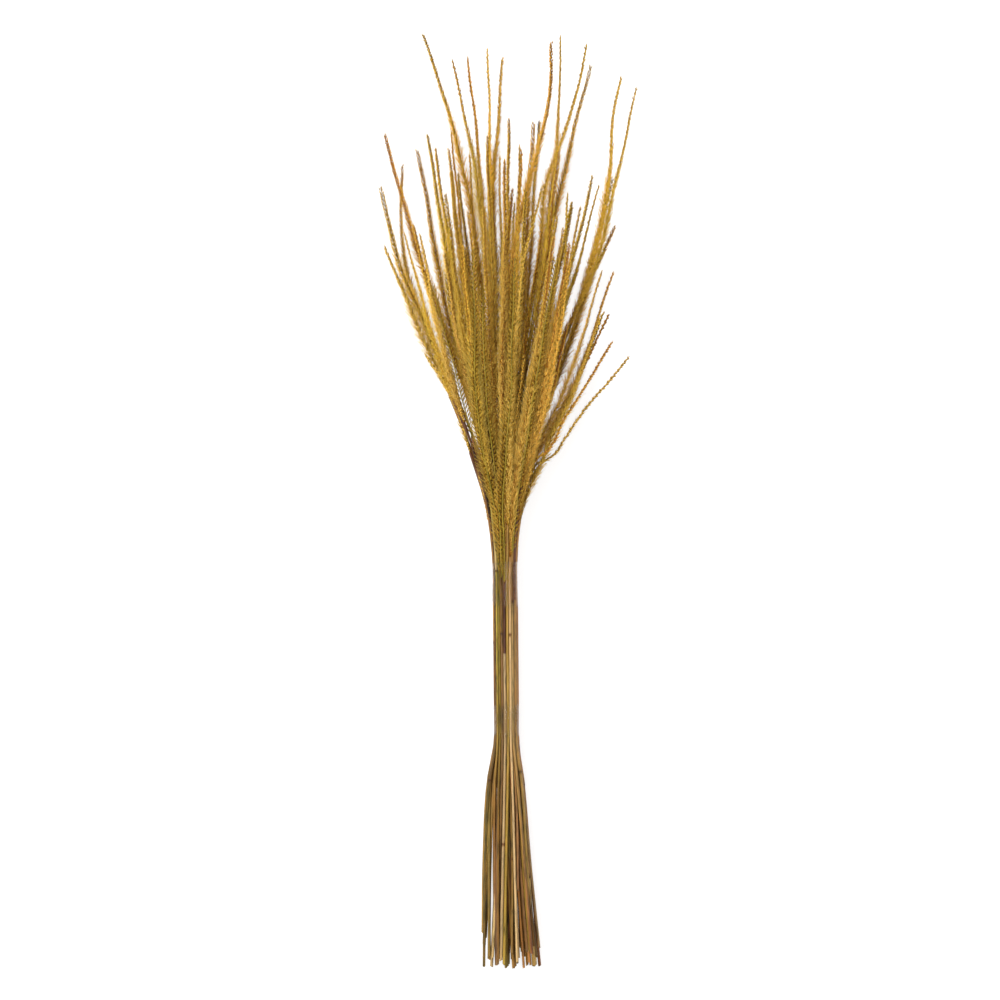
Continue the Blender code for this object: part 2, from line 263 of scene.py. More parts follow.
def grain_noise(tree, grain, stretch, detail):
    """Noise whose cells are stretched along the straw."""
    scaled = tree.nodes.new("ShaderNodeVectorMath")
    scaled.operation = "MULTIPLY"
    scaled.inputs[1].default_value = stretch
    tree.links.new(grain, scaled.inputs[0])
    noise = tree.nodes.new("ShaderNodeTexNoise")
    set_inputs(noise, {"Scale": 1.0, "Detail": detail, "Roughness": NOISE_ROUGHNESS})
    tree.links.new(scaled.outputs[0], noise.inputs["Vector"])
    return noise.outputs["Fac"]


def mix_colours(tree, amount, first, second, blend="MIX"):
    """A Mix node on colours; each input is a socket or a colour."""
    node = tree.nodes.new("ShaderNodeMix")
    node.data_type = "RGBA"
    node.blend_type = blend
    for socket, value in zip((node.inputs["Factor"], node.inputs[6], node.inputs[7]),
                             (amount, first, second)):
        if isinstance(value, bpy.types.NodeSocket):
            tree.links.new(value, socket)
        else:
            socket.default_value = value
    return node.outputs[2]


def linear(red, green, blue):
    """A colour picked on screen, 0 to 255, as the linear numbers that shaders use."""
    parts = np.array((red, green, blue)) / 255.0
    return tuple(np.where(parts <= 0.04045, parts / 12.92, ((parts + 0.055) / 1.055) ** 2.4))


print("helpers for sockets, maths, noise and colours")

# %% Shader group for straw
STREAK_CELLS = (5.5, 0.045, 5.5)
BLOTCH_CELLS = (0.7, 0.10, 0.7)
SPECK_CELLS = (3.5, 0.9, 3.5)
DARKEST = (0.0, 0.0, 0.0, 1.0)
LIGHTEST = (2.0, 2.0, 2.0, 1.0)
MIDDLE = 0.5
WEATHERED = (*linear(126, 80, 34), 1.0)
WEATHERED_FROM = 0.42
WEATHERED_GAIN = 1.6
SPECK_BROWN = (*linear(66, 38, 14), 1.0)
SPECKS_FROM = 0.62
SPECK_GAIN = 6.0
LEAST_ROUGHNESS = 0.38
ROUGHNESS_RANGE = 0.3

straw_group = bpy.data.node_groups.new("dry_straw", "ShaderNodeTree")
new_socket(straw_group, "Tint", "NodeSocketColor")
new_socket(straw_group, "Grain", "NodeSocketVector")
for name, value in (("Streaks", 0.35), ("Blotches", 0.25), ("Specks", 0.3)):
    new_socket(straw_group, name, "NodeSocketFloat", value)
new_socket(straw_group, "Color", "NodeSocketColor", output=True)
new_socket(straw_group, "Roughness", "NodeSocketFloat", output=True)
new_socket(straw_group, "Height", "NodeSocketFloat", output=True)
straw_maths = partial(math_node, straw_group)
group_in = straw_group.nodes.new("NodeGroupInput")
group_out = straw_group.nodes.new("NodeGroupOutput")
grain_in = group_in.outputs["Grain"]
streak = grain_noise(straw_group, grain_in, STREAK_CELLS, 4.0)
blotch = grain_noise(straw_group, grain_in, BLOTCH_CELLS, 2.0)
speck = grain_noise(straw_group, grain_in, SPECK_CELLS, 2.0)

streak_gain = straw_maths("MULTIPLY", straw_maths("SUBTRACT", streak, MIDDLE), group_in.outputs["Streaks"])
blotch_gain = straw_maths("MULTIPLY", straw_maths("SUBTRACT", blotch, MIDDLE), group_in.outputs["Blotches"])
gain = straw_maths("ADD", straw_maths("ADD", streak_gain, blotch_gain), MIDDLE, True)
brightness = mix_colours(straw_group, gain, DARKEST, LIGHTEST)
toned = mix_colours(straw_group, 1.0, group_in.outputs["Tint"], brightness, "MULTIPLY")
warm = amount_over(straw_group, blotch, WEATHERED_FROM, WEATHERED_GAIN, group_in.outputs["Blotches"])
weathered = mix_colours(straw_group, warm, toned, WEATHERED)
dark = amount_over(straw_group, speck, SPECKS_FROM, SPECK_GAIN, group_in.outputs["Specks"])
speckled = mix_colours(straw_group, dark, weathered, SPECK_BROWN)
rough = straw_maths("MULTIPLY", blotch, ROUGHNESS_RANGE)
rough = straw_maths("ADD", rough, LEAST_ROUGHNESS)
straw_group.links.new(speckled, group_out.inputs["Color"])
straw_group.links.new(rough, group_out.inputs["Roughness"])
straw_group.links.new(streak, group_out.inputs["Height"])
print("straw group with", len(straw_group.nodes), "nodes")

# %% [markdown]
# ## Three kinds of straw
#
# The culm is the smooth shining stalk, so its streaks are strong and its gloss is higher. The
# husks are papery, so they have weaker streaks and hardly any gloss, with the same fine bump.
# The bristles are too fine for streaks, specks or gloss and mostly keep their tint.

# %% Straw materials
BUMP_DISTANCE = 0.15


def straw_material(name, streaks, blotches, specks, bump, gloss):
    """A Principled material whose colour, roughness and bump come from the straw group."""
    material = bpy.data.materials.new(name)
    material.use_nodes = True
    tree = material.node_tree
    shader = tree.nodes["Principled BSDF"]
    tint = tree.nodes.new("ShaderNodeAttribute")
    tint.attribute_name = "tint"
    grain = tree.nodes.new("ShaderNodeAttribute")
    grain.attribute_name = "grain"
    straw = tree.nodes.new("ShaderNodeGroup")
    straw.node_tree = straw_group
    set_inputs(straw, {"Streaks": streaks, "Blotches": blotches, "Specks": specks})
    tree.links.new(tint.outputs["Color"], straw.inputs["Tint"])
    tree.links.new(grain.outputs["Vector"], straw.inputs["Grain"])
    tree.links.new(straw.outputs["Color"], shader.inputs["Base Color"])
    tree.links.new(straw.outputs["Roughness"], shader.inputs["Roughness"])
    bumps = tree.nodes.new("ShaderNodeBump")
    set_inputs(bumps, {"Strength": bump, "Distance": BUMP_DISTANCE * MM})
    tree.links.new(straw.outputs["Height"], bumps.inputs["Height"])
    tree.links.new(bumps.outputs["Normal"], shader.inputs["Normal"])
    set_inputs(shader, {"Specular IOR Level": gloss})
    return material


culm_straw = straw_material("culm_straw", streaks=2.0, blotches=1.1, specks=0.9, bump=0.6, gloss=0.22)
husk_straw = straw_material("husk_straw", streaks=1.0, blotches=0.5, specks=0.25, bump=0.6, gloss=0.03)
bristle_straw = straw_material("bristle_straw", streaks=0.3, blotches=0.3, specks=0.0, bump=0.1, gloss=0.0)
STRAWS = (culm_straw, husk_straw, bristle_straw)
CULM, HUSK, BRISTLE = range(3)
print([material.name for material in STRAWS])

# %% [markdown]
# ## From arrays to a mesh
#
# A spike has hundreds of husks and bristles, far too many to add one by one. Each kind is a
# small template that numpy copies to all its places at once, and one function turns the arrays
# into a mesh with its two attributes. Nothing may dip into the table, so every corner is kept a
# hair above it.

# %% Mesh helper
TABLE_CLEARANCE = 0.2


def make_piece(name, parts):
    """One mesh object from parts of (corners in mm, triangles, straw, tint, grain)."""
    sizes = [len(part[0]) for part in parts]
    starts = np.concatenate(([0], np.cumsum(sizes)[:-1]))
    corners = np.concatenate([part[0] for part in parts])
    corners[:, 2] = np.maximum(corners[:, 2], TABLE_CLEARANCE)
    triangles = np.concatenate([part[1] + start for part, start in zip(parts, starts)])
    straws = np.concatenate([np.full(len(part[1]), part[2]) for part in parts])
    tints = np.concatenate([part[3] for part in parts])
    grains = np.concatenate([part[4] for part in parts])
    mesh = bpy.data.meshes.new(name)
    mesh.vertices.add(len(corners))
    mesh.vertices.foreach_set("co", (corners * MM).astype(np.float32).ravel())
    mesh.loops.add(triangles.size)
    mesh.loops.foreach_set("vertex_index", triangles.astype(np.int32).ravel())
    mesh.polygons.add(len(triangles))
    mesh.polygons.foreach_set("loop_start", np.arange(0, triangles.size, 3, dtype=np.int32))
    mesh.polygons.foreach_set("material_index", straws.astype(np.int32))
    mesh.update(calc_edges=True)
    for straw in STRAWS:
        mesh.materials.append(straw)
    colours = np.concatenate((tints, np.ones((len(tints), 1))), axis=1).astype(np.float32)
    mesh.attributes.new("tint", "FLOAT_COLOR", "POINT").data.foreach_set("color", colours.ravel())
    grain = mesh.attributes.new("grain", "FLOAT_VECTOR", "POINT")
    grain.data.foreach_set("vector", grains.astype(np.float32).ravel())
    mesh.shade_smooth()
    return add_object(name, mesh)


print("pieces stay", TABLE_CLEARANCE, "mm above the table")

# %% Helpers for lines and tubes
def unit(vectors):
    """Vectors of length one."""
    return vectors / np.linalg.norm(vectors, axis=-1, keepdims=True)


def directions(line):
    """Ahead, to the side and up, at every point of a line."""
    ahead = unit(np.gradient(line, axis=0))
    side = unit(np.cross(ahead, (0.0, 0.0, 1.0)))
    return ahead, side, np.cross(side, ahead)


def turned(turn, first, second):
    """Directions turned away from the first towards the second, each by its own angle."""
    return np.cos(turn)[:, None] * first + np.sin(turn)[:, None] * second


def lengths(line):
    """Distance along a line at each of its points."""
    return np.concatenate(([0.0], np.cumsum(np.linalg.norm(np.diff(line, axis=0), axis=1))))


def read_at(at, values, wanted):
    """Rows of values, known at distances at, read at the wanted distances."""
    return np.stack([np.interp(wanted, at, column) for column in np.asarray(values).T], axis=-1)


def grid_triangles(rings, sides):
    """Triangles between rings of a tube."""
    ring, side = np.meshgrid(np.arange(rings - 1), np.arange(sides), indexing="ij")
    one = ring * sides + side
    two = ring * sides + (side + 1) % sides
    lower = np.stack((one, one + sides, two), axis=-1)
    upper = np.stack((two, one + sides, two + sides), axis=-1)
    return np.concatenate((lower.reshape(-1, 3), upper.reshape(-1, 3)))


print(len(grid_triangles(2, RING_SIDES)), "triangles between two rings of", RING_SIDES)

# %% [markdown]
# ## The culm
#
# A culm is the grass's round stalk. Every seventeen to thirty centimetres it has a joint, a dark
# swollen ring, and above each joint the base of a leaf still wraps it for a while, so the stalk
# looks thicker there and steps down where the wrap ends. A tube of rings with changing radius
# and colour gives all of that, so this step only lists where the rings are and what they do.

# %% Rings of a culm
PLAIN_RING_STEP = 12.0
PLAIN_RING_ROOM = 2.0
FIRST_JOINT = (30.0, 330.0)
JOINT_SPACING = (170.0, 300.0)
LAST_JOINT_ROOM = 25.0
FIRST_WRAPS = (1.0, 1.1)
WRAP_THICKNESSES = (0.06, 0.12, 0.2, 0.4)
WRAP_SHARE = (0.3, 1.1)
BARE_JOINT = ((-0.8, 1.14, 0.35), (-0.3, 1.2, 0.8), (0.5, 1.18, 0.8))


def culm_rings(length, random):
    """Distance, swelling, darkness and leaf cover of a culm's rings."""
    wrap = random.choice(FIRST_WRAPS)
    rows = [(0.0, wrap, 0.0, wrap > 1.0)]
    joint = random.uniform(*FIRST_JOINT)
    while joint < length - LAST_JOINT_ROOM:
        spacing = random.uniform(*JOINT_SPACING)
        before = wrap
        wrap = 1.0 + random.choice(WRAP_THICKNESSES)
        rows.append((joint - 2.2, before, 0.0, before > 1.0))
        rows += [(joint + off, swell, dark, 0.0) for off, swell, dark in BARE_JOINT]
        rows += [(joint + 1.3, wrap, 0.2, 1.0), (joint + 3.0, wrap, 0.0, 1.0)]
        wrap_end = joint + spacing * random.uniform(*WRAP_SHARE)
        if wrap_end < joint + spacing - 6.0:
            rows += [(wrap_end, wrap + 0.04, 0.0, 1.0), (wrap_end + 0.3, 1.0, 0.35, 0.0),
                     (wrap_end + 1.6, 1.0, 0.0, 0.0)]
            wrap = 1.0
        joint += spacing
    rows = [row for row in rows if row[0] < length - 1.0] + [(length, 1.0, 0.0, 0.0)]
    at, swells, darks, covers = np.array(rows, dtype=float).T
    plain = np.arange(PLAIN_RING_STEP, length - 3.0, PLAIN_RING_STEP)
    plain = plain[np.abs(plain[:, None] - at).min(axis=1) > PLAIN_RING_ROOM]
    wanted = np.sort(np.concatenate((at, plain)))
    return wanted, np.interp(wanted, at, swells), np.interp(wanted, at, darks), np.interp(wanted, at, covers)


print(len(culm_rings(500.0, np.random.default_rng(0))[0]), "rings on a culm of 500 mm")

# %% [markdown]
# ## A tube along a line
#
# Culms and ribs are round tubes that follow a line, so one function makes both. Fans of
# triangles close the ends, except where a culm's cut end is put in later. One flank of a culm may
# be lighter and the other darker: partly sun bleaching, partly painted shade for the gaps between culms.

# %% Tube
GRAIN_PER_STEM = 1000.0


def tube_part(line, at, ring_at, radii, sides, straw, tints, number, bleach_and_shade=0.0, close_start=True):
    """A tube along a line, as a part, and its rings; one flank may be lighter, by sun bleaching and painted
    shade.
    """
    _, side, up = directions(line)
    turn = np.arange(sides) / sides * math.tau
    around = (np.cos(turn)[None, :, None] * read_at(at, side, ring_at)[:, None]
              + np.sin(turn)[None, :, None] * read_at(at, up, ring_at)[:, None])
    corners = read_at(at, line, ring_at)[:, None] + np.asarray(radii)[:, None, None] * around
    grain = np.stack(np.broadcast_arrays(np.cos(turn)[None], ring_at[:, None] + number * GRAIN_PER_STEM,
                                         np.sin(turn)[None]), axis=-1)
    # painted shade, partly sun bleaching: one flank lighter and the other darker
    flanks = 1.0 + bleach_and_shade * np.cos(turn + number)
    colours = (tints[:, None] * flanks[None, :, None]).reshape(-1, 3)
    one = np.arange(sides)
    two = (one + 1) % sides
    count = corners.size // 3
    last = count - sides
    caps = [np.stack((np.full(sides, count), last + two, last + one), axis=1)]
    ends = [-1]
    if close_start:
        caps.append(np.stack((np.full(sides, count + 1), one, two), axis=1))
        ends.append(0)
    triangles = np.concatenate([grid_triangles(len(ring_at), sides)] + caps)
    return [np.concatenate((corners.reshape(-1, 3), corners[ends].mean(axis=1))), triangles, straw,
            np.concatenate((colours, tints[ends])),
            np.concatenate((grain.reshape(-1, 3), grain[ends].mean(axis=1)))], corners


print("each stem's grain starts", GRAIN_PER_STEM, "mm further on")

# %% [markdown]
# ## The cut end
#
# The lower end of a culm was cut with shears: the cut is slanted and shows a pale rim and a
# hollow in shade. The tube's first ring is slid along the stem to slant it, and a second, narrower
# ring and a short pit inside it, painted dark as its shade, make the rim and the hollow.

# %% Cut end
CULM_SIDES = 9
SLANT = (0.1, 0.9)
RIM_INSIDE = 0.6
PIT_WIDTH = 0.5
PIT_DEPTH = 4.0
PITH = linear(205, 186, 146)
# painted shade: the inside of the hollow is coloured dark
PAINTED_HOLLOW_SHADE = linear(46, 30, 16)


def cut_end(culm, ring, number, random):
    """Slant a culm's first ring, and close it with a pale rim and a hollow painted dark as shade."""
    sides = CULM_SIDES
    middle = ring.mean(axis=0)
    spokes = ring - middle
    slant = random.uniform(*SLANT)
    leaning = spokes @ unit(random.normal(size=3) * (1.0, 0.0, 1.0)) * slant
    shift = np.zeros((sides, 3))
    shift[:, 1] = leaning + np.abs(leaning).max()
    rim = ring + shift
    inner = middle + spokes * RIM_INSIDE + shift
    deep = middle + spokes * PIT_WIDTH + (0.0, PIT_DEPTH, 0.0) + shift
    bottom = deep.mean(axis=0, keepdims=True)
    corners = np.concatenate((rim, inner, inner, deep, bottom))
    rim_triangles = grid_triangles(2, sides)[:, ::-1]
    hollow_triangles = rim_triangles + 2 * sides
    spoke = np.arange(sides)
    floor = np.stack((np.full(sides, 4 * sides), 3 * sides + spoke, 3 * sides + (spoke + 1) % sides), axis=1)
    colours = np.concatenate((np.tile(PITH, (2 * sides, 1)), np.tile(PAINTED_HOLLOW_SHADE, (2 * sides + 1, 1))))
    grain = corners + (0.0, number * GRAIN_PER_STEM, 0.0)
    culm[0][:sides] = rim
    return [corners, np.concatenate((rim_triangles, hollow_triangles, floor)), CULM, colours, grain]


print("cut end of", CULM_SIDES, "sides, with a pit", PIT_DEPTH, "mm deep")

# %% [markdown]
# ## The culm
#
# A culm gets thinner upwards, and where a leaf wraps it, it takes most of its colour from that
# leaf. One that grows between others may have little room, and then it is made thinner.

# %% Culm
CULM_RADIUS = ((0.0, 1.10), (175.0, 0.99), (300.0, 0.97), (420.0, 0.80), (560.0, 0.62))
JOINT_BROWN = linear(62, 34, 24)
WRAP_COVER = 0.7
# one flank lighter, the other darker: sun bleaching and painted shade between culms
FLANK_BLEACH_AND_SHADE = 0.5


def culm_parts(line, at, length, girth, tints_at, tints, sheath, number, random, room=None):
    """The culm of one stem up to its spike: its tube and its cut end."""
    ring_at, swells, darks, covers = culm_rings(length, random)
    radii = np.interp(ring_at, *zip(*CULM_RADIUS)) * girth
    if room is not None:
        radii = np.minimum(radii, np.interp(ring_at, at, room))
    radii = radii * swells
    colours = read_at(tints_at, tints, ring_at)
    colours = colours * (1.0 - WRAP_COVER * covers[:, None]) + sheath * WRAP_COVER * covers[:, None]
    colours = colours * (1.0 - darks[:, None]) + np.array(JOINT_BROWN) * darks[:, None]
    culm, corners = tube_part(line, at, ring_at, radii, CULM_SIDES, CULM, colours, number, FLANK_BLEACH_AND_SHADE,
                              close_start=False)
    return [culm, cut_end(culm, corners[0], number, random)]


print("culm radius from", CULM_RADIUS[0][1], "to", CULM_RADIUS[-1][1], "mm")

# %% [markdown]
# ## Husk and bristle
#
# Above the culm, husks sit left and right in turn on a thin rib, like a braid, and each husk
# carries a tuft of fine bristles that lean forwards and out. A husk is a closed dart of five
# sides, widest well above its middle, so that its blunt end stands out as a tooth. A bristle is
# a sliver of four triangles, twisted by a quarter turn from root to tip: it keeps most of its
# width to the tip, and it is a closed mesh, which a flat strip isn't. Both are templates in
# their own little frame: along, across and through.

# %% Husk and bristle templates
HUSK_SIDES = 5
WIDEST_AT = 0.7
TIP_EDGE = 0.8


def dart(widest, sides):
    """A closed dart of length one: its corners and its triangles."""
    turns = [math.tau * side / sides for side in range(sides)]
    ring = [(widest, math.cos(turn), math.sin(turn)) for turn in turns]
    triangles = []
    for side in range(sides):
        one = 1 + side
        two = 1 + (side + 1) % sides
        triangles += [(0, two, one), (sides + 1, one, two)]
    return np.array([(0.0, 0.0, 0.0), *ring, (1.0, 0.0, 0.0)]), np.array(triangles)


HUSK_FORM, HUSK_TRIANGLES = dart(WIDEST_AT, HUSK_SIDES)
BRISTLE_FORM = np.array([(0.0, 1.0, 0.0), (0.0, -1.0, 0.0), (1.0, 0.0, TIP_EDGE), (1.0, 0.0, -TIP_EDGE)])
BRISTLE_TRIANGLES = np.array([(0, 1, 2), (1, 0, 3), (2, 3, 0), (3, 2, 1)])


def copies(form, triangles, places, axes, scales):
    """A template copied to many places; axes are (along, across, through) for each."""
    local = form[None] * scales[:, None, :]
    corners = places[:, None] + np.einsum("nvk,nkc->nvc", local, axes)
    shift = np.arange(len(places))[:, None, None] * len(form)
    return corners.reshape(-1, 3), (triangles[None] + shift).reshape(-1, 3)


print(len(HUSK_TRIANGLES), "triangles a husk,", len(BRISTLE_TRIANGLES), "a bristle")

# %% [markdown]
# ## Where the husks sit
#
# The two rows of husks lie on opposite sides of the rib. Most spikes are rolled so that one row
# lies on top, which gives their toothed edge. The front spikes show both rows, with a bare rib
# between them and a herringbone of tufts.

# %% Places of husks
HUSK_PITCH = 1.0
HUSK_LENGTH = 2.9
HUSK_HALF_WIDTH = 0.62
HUSK_HALF_DEPTH = 0.84
HUSK_LEAN = math.radians(24.0)
HUSK_OFFSET = 0.36
HUSK_SIZES = ((0.0, 0.06, 0.2, 0.75, 0.95, 1.0), (0.6, 0.85, 1.0, 1.0, 0.95, 0.75))
TIP_ROOM = 2.5
PLACE_JITTER = 0.15
TURN_JITTER = 0.12
LEAN_RANGE = (0.7, 1.4)
LENGTH_RANGE = (0.88, 1.12)


def husk_places(line, at, start, spike, random):
    """Place, axes and size of each husk of one spike, as arrays by name."""
    end = at[-1]
    ahead, side, up = directions(line)
    count = int((end - start - TIP_ROOM) / (HUSK_PITCH * spike["husk_scale"]))
    share = (np.arange(count) + 0.5) / count
    where = start + share * (end - start - TIP_ROOM) + random.uniform(-PLACE_JITTER, PLACE_JITTER, count)
    order = np.arange(count)
    turn = spike["roll"] + spike["twist"] * share
    around = turn + math.pi * (order % 2) + spike["rows"] * np.where(order // 2 % 2, 1.0, -1.0)
    around += random.normal(0.0, TURN_JITTER, count)
    forward = read_at(at, ahead, where)
    side_there = read_at(at, side, where)
    up_there = read_at(at, up, where)
    out = turned(around, side_there, up_there)
    back = turned(turn, up_there, -side_there)
    size = np.interp(share, *HUSK_SIZES) * spike["size"]
    lean = HUSK_LEAN * random.uniform(*LEAN_RANGE, count)
    along = unit(turned(lean, forward, out))
    across = unit(out - along * (out * along).sum(axis=1, keepdims=True))
    spot = (read_at(at, line, where) + out * (HUSK_OFFSET * size)[:, None]
            - back * (spike["rib_bare"] * size)[:, None])
    length = HUSK_LENGTH * spike["husk_scale"]
    scales = np.stack((length * (0.55 + 0.45 * size) * random.uniform(*LENGTH_RANGE, count),
                       HUSK_HALF_WIDTH * size, HUSK_HALF_DEPTH * size), axis=1)
    return {"share": share, "where": where, "order": order, "forward": forward, "out": out,
            "along": along, "axes": np.stack((along, across, np.cross(along, across)), axis=1),
            "spot": spot, "scales": scales}


print("a husk every", HUSK_PITCH, "mm,", HUSK_LENGTH, "mm long")

# %% [markdown]
# ## Colour of the husks
#
# A husk is dark at its foot, in the shade of the one before it, and light at its tip. Lamps alone
# show too little of that, so it is painted too. One of the two rows may be painted darker or lighter
# than the other, as if lit from one side, and some spikes fade to a dull brown at the top.

# %% Husks
SHADE_POWER = 2.6
SHADE_RANGE = (0.8, 1.2)
BROWN_TOP = (0.86, 1.0)
TIP_BROWN = linear(124, 88, 42)
GRAIN_ALONG_HUSK = 6.0
GRAIN_ALONG_SPIKE = 7.0


def husk_part(husks, spike, number, random):
    """All husks of one spike, as a part."""
    share, where, order = husks["share"], husks["where"], husks["order"]
    count = len(order)
    corners, triangles = copies(HUSK_FORM, HUSK_TRIANGLES, husks["spot"], husks["axes"], husks["scales"])
    # painted side light: one row of husks is painted darker or lighter than the other
    shade = random.uniform(*SHADE_RANGE, count) * np.where(order % 2, 1.0, spike["painted_shade_row"])
    reach = HUSK_FORM[:, 0][None, :, None]
    base = np.array(spike["husk"])
    tip = np.array(spike["husk_tip"])
    lit = spike["shadow"] + spike["light"] * reach ** SHADE_POWER
    tints = (base * (1.0 - reach) + tip * reach) * lit * shade[:, None, None]
    browned = (np.interp(share, BROWN_TOP, (0.0, 1.0)) * spike["brown_tip"])[:, None, None]
    tints = tints * (1.0 - browned) + np.array(TIP_BROWN) * (0.4 + 0.8 * reach) * browned
    grain = np.broadcast_to(HUSK_FORM * (0.0, 1.0, 1.0), (count, len(HUSK_FORM), 3)).copy()
    grain[:, :, 0] = grain[:, :, 1]
    grain[:, :, 1] = ((HUSK_FORM[:, 0] * GRAIN_ALONG_HUSK)[None] + where[:, None] * GRAIN_ALONG_SPIKE
                      + number * GRAIN_PER_STEM)
    return [corners, triangles, HUSK, tints.reshape(-1, 3), grain.reshape(-1, 3)]


print("husks brown over the last", round(1.0 - BROWN_TOP[0], 2), "of some spikes")

# %% [markdown]
# ## Bristles
#
# Hundreds of bristles make the pale haze round a spike. They are longest and stand widest in its
# lower half, and get shorter, closer and paler towards the tip. Each has its own root on its
# husk, its own opening angle and its own spin, so that no comb of equal bristles shows.

# %% Bristles
BRISTLE_LENGTH = 8.0
BRISTLE_HALF_WIDTH = 0.11
BRISTLES_PER_MM = ((0.0, 0.1, 0.5, 0.72, 1.0), (5.0, 13.0, 13.5, 9.0, 5.0))
BRISTLE_SIZES = ((0.0, 0.12, 0.5, 0.75, 1.0), (0.5, 1.0, 1.0, 0.45, 0.22))
BRISTLE_SPREAD = ((0.0, 0.12, 0.45, 0.75, 1.0), (0.3, 1.0, 1.0, 0.65, 0.5))
BRISTLE_PALENESS = ((0.0, 0.22, 0.5), (0.0, 0.15, 1.0))
BRISTLE_LENGTH_RANGE = (0.6, 1.15)
BRISTLE_SHADE_RANGE = (0.8, 1.1)
ROOT_RANGE = (0.2, 0.95)


def bristle_part(husks, spike, number, random):
    """All bristles of one spike, as a part."""
    share, forward, out = husks["share"], husks["forward"], husks["out"]
    counts = np.interp(share, *BRISTLES_PER_MM) * HUSK_PITCH * spike["husk_scale"] * spike["bristles"]
    whole = np.floor(counts + random.uniform(0.0, 1.0, len(share))).astype(int)
    owner = np.repeat(husks["order"], whole)
    total = len(owner)
    open_out = np.radians(random.uniform(*spike["open"], total)) * np.interp(share[owner], *BRISTLE_SPREAD)
    swing = np.radians(random.normal(0.0, spike["swing"], total))
    outward = turned(swing, out[owner], np.cross(forward, out)[owner])
    needle = unit(turned(open_out, forward[owner], outward))
    level = unit(np.cross(needle, forward[owner]))
    across = turned(random.uniform(0.0, math.tau, total), level, np.cross(needle, level))
    root_share = random.uniform(*ROOT_RANGE, total)
    root = husks["spot"][owner] + husks["along"][owner] * (husks["scales"][owner, 0] * root_share)[:, None]
    length = (BRISTLE_LENGTH * spike["bristle_length"] * random.uniform(*BRISTLE_LENGTH_RANGE, total)
              * np.interp(share[owner], *BRISTLE_SIZES))
    half_width = np.full(total, BRISTLE_HALF_WIDTH)
    axes = np.stack((needle, across, np.cross(needle, across)), axis=1)
    corners, triangles = copies(BRISTLE_FORM, BRISTLE_TRIANGLES, root, axes,
                                np.stack((length, half_width, half_width), axis=1))
    reach = BRISTLE_FORM[:, 0][None, :, None]
    pale = np.interp(share[owner], *BRISTLE_PALENESS)[:, None, None]
    base = np.array(spike["bristle"]) * (1.0 - pale) + np.array(spike["pale_bristle"]) * pale
    tints = base * (1.0 - reach) + np.array(spike["bristle_tip"]) * reach
    tints = tints * random.uniform(*BRISTLE_SHADE_RANGE, total)[:, None, None]
    grain = np.broadcast_to(BRISTLE_FORM, (total, len(BRISTLE_FORM), 3)).copy()
    grain[:, :, 1] += (husks["where"][owner] * GRAIN_ALONG_SPIKE + number * GRAIN_PER_STEM)[:, None]
    return [corners, triangles, BRISTLE, tints.reshape(-1, 3), grain.reshape(-1, 3)]


print("bristles up to", BRISTLE_LENGTH * BRISTLE_LENGTH_RANGE[1], "mm long")

# %% [markdown]
# ## Rib and whole spike
#
# The rib carries the husks. It starts nearly as wide as the culm, so that no gap shows between
# stalk and spike, and thins to its own width.

# %% Spike
RIB_RADIUS = 0.55
RIB_SIDES = 5
RIB_STEP = 6.0
RIB_TAPER = ((0.0, 0.1, 0.9, 1.0), (1.0, 1.0, 0.7, 0.3))
RIB_SHIFT = 0.5


def rib_part(line, at, start, spike, number):
    """The rib of one spike, as a part."""
    end = at[-1]
    _, side, up = directions(line)
    rib_at = np.linspace(start - 1.0, end, max(int((end - start) / RIB_STEP), 4))
    share = (rib_at - rib_at[0]) / (rib_at[-1] - rib_at[0])
    radii = np.interp(share, *RIB_TAPER) * RIB_RADIUS
    radii[0] = spike["culm_radius"]
    tints = np.tile(spike["rib"], (len(rib_at), 1))
    turn = spike["roll"] + spike["twist"] * np.clip((at - start) / (end - start), 0.0, 1.0)
    rib_line = line + turned(turn, up, -side) * RIB_SHIFT * spike["rib_bare"]
    return tube_part(rib_line, at, rib_at, radii, RIB_SIDES, CULM, tints, number)[0]


def spike_parts(line, at, start, spike, number, random):
    """Rib, husks and bristles of one spike, from start to the end of its line."""
    husks = husk_places(line, at, start, spike, random)
    return [rib_part(line, at, start, spike, number), husk_part(husks, spike, number, random),
            bristle_part(husks, spike, number, random)]


print("rib radius", RIB_RADIUS, "mm")

# %% [markdown]
# ## Colours of this bunch
#
# No two stems have the same colour. The culms run from pale tan over olive and orange to purple
# brown, and drift from one to another along their length. The spikes are golden, some greener
# and some browner, with paler bristles.

# %% Colours of culms
def palette(*colours):
    """Several colours picked on screen, as linear numbers."""
    return tuple(linear(*colour) for colour in colours)


TAN = palette((158, 122, 58), (176, 138, 52), (168, 106, 40), (150, 116, 72), (194, 164, 108),
              (128, 76, 44))
OLIVE = palette((136, 118, 36), (162, 142, 50), (122, 106, 48))
PURPLE_BROWN = palette((106, 72, 50), (128, 78, 40), (92, 56, 42))
CULM_COLOURS = {"golden_straw": (TAN, TAN), "olive_straw": (OLIVE + TAN, OLIVE),
                "purple_brown_straw": (TAN + OLIVE, PURPLE_BROWN)}
SHEATH_COLOURS = palette((206, 176, 126), (156, 120, 62), (132, 76, 44), (164, 146, 54),
                         (190, 144, 54))
COLOUR_SPAN = 70.0
PLACE_TONE = (0.7, 1.25)
CULM_TONE = (0.7, 1.08)


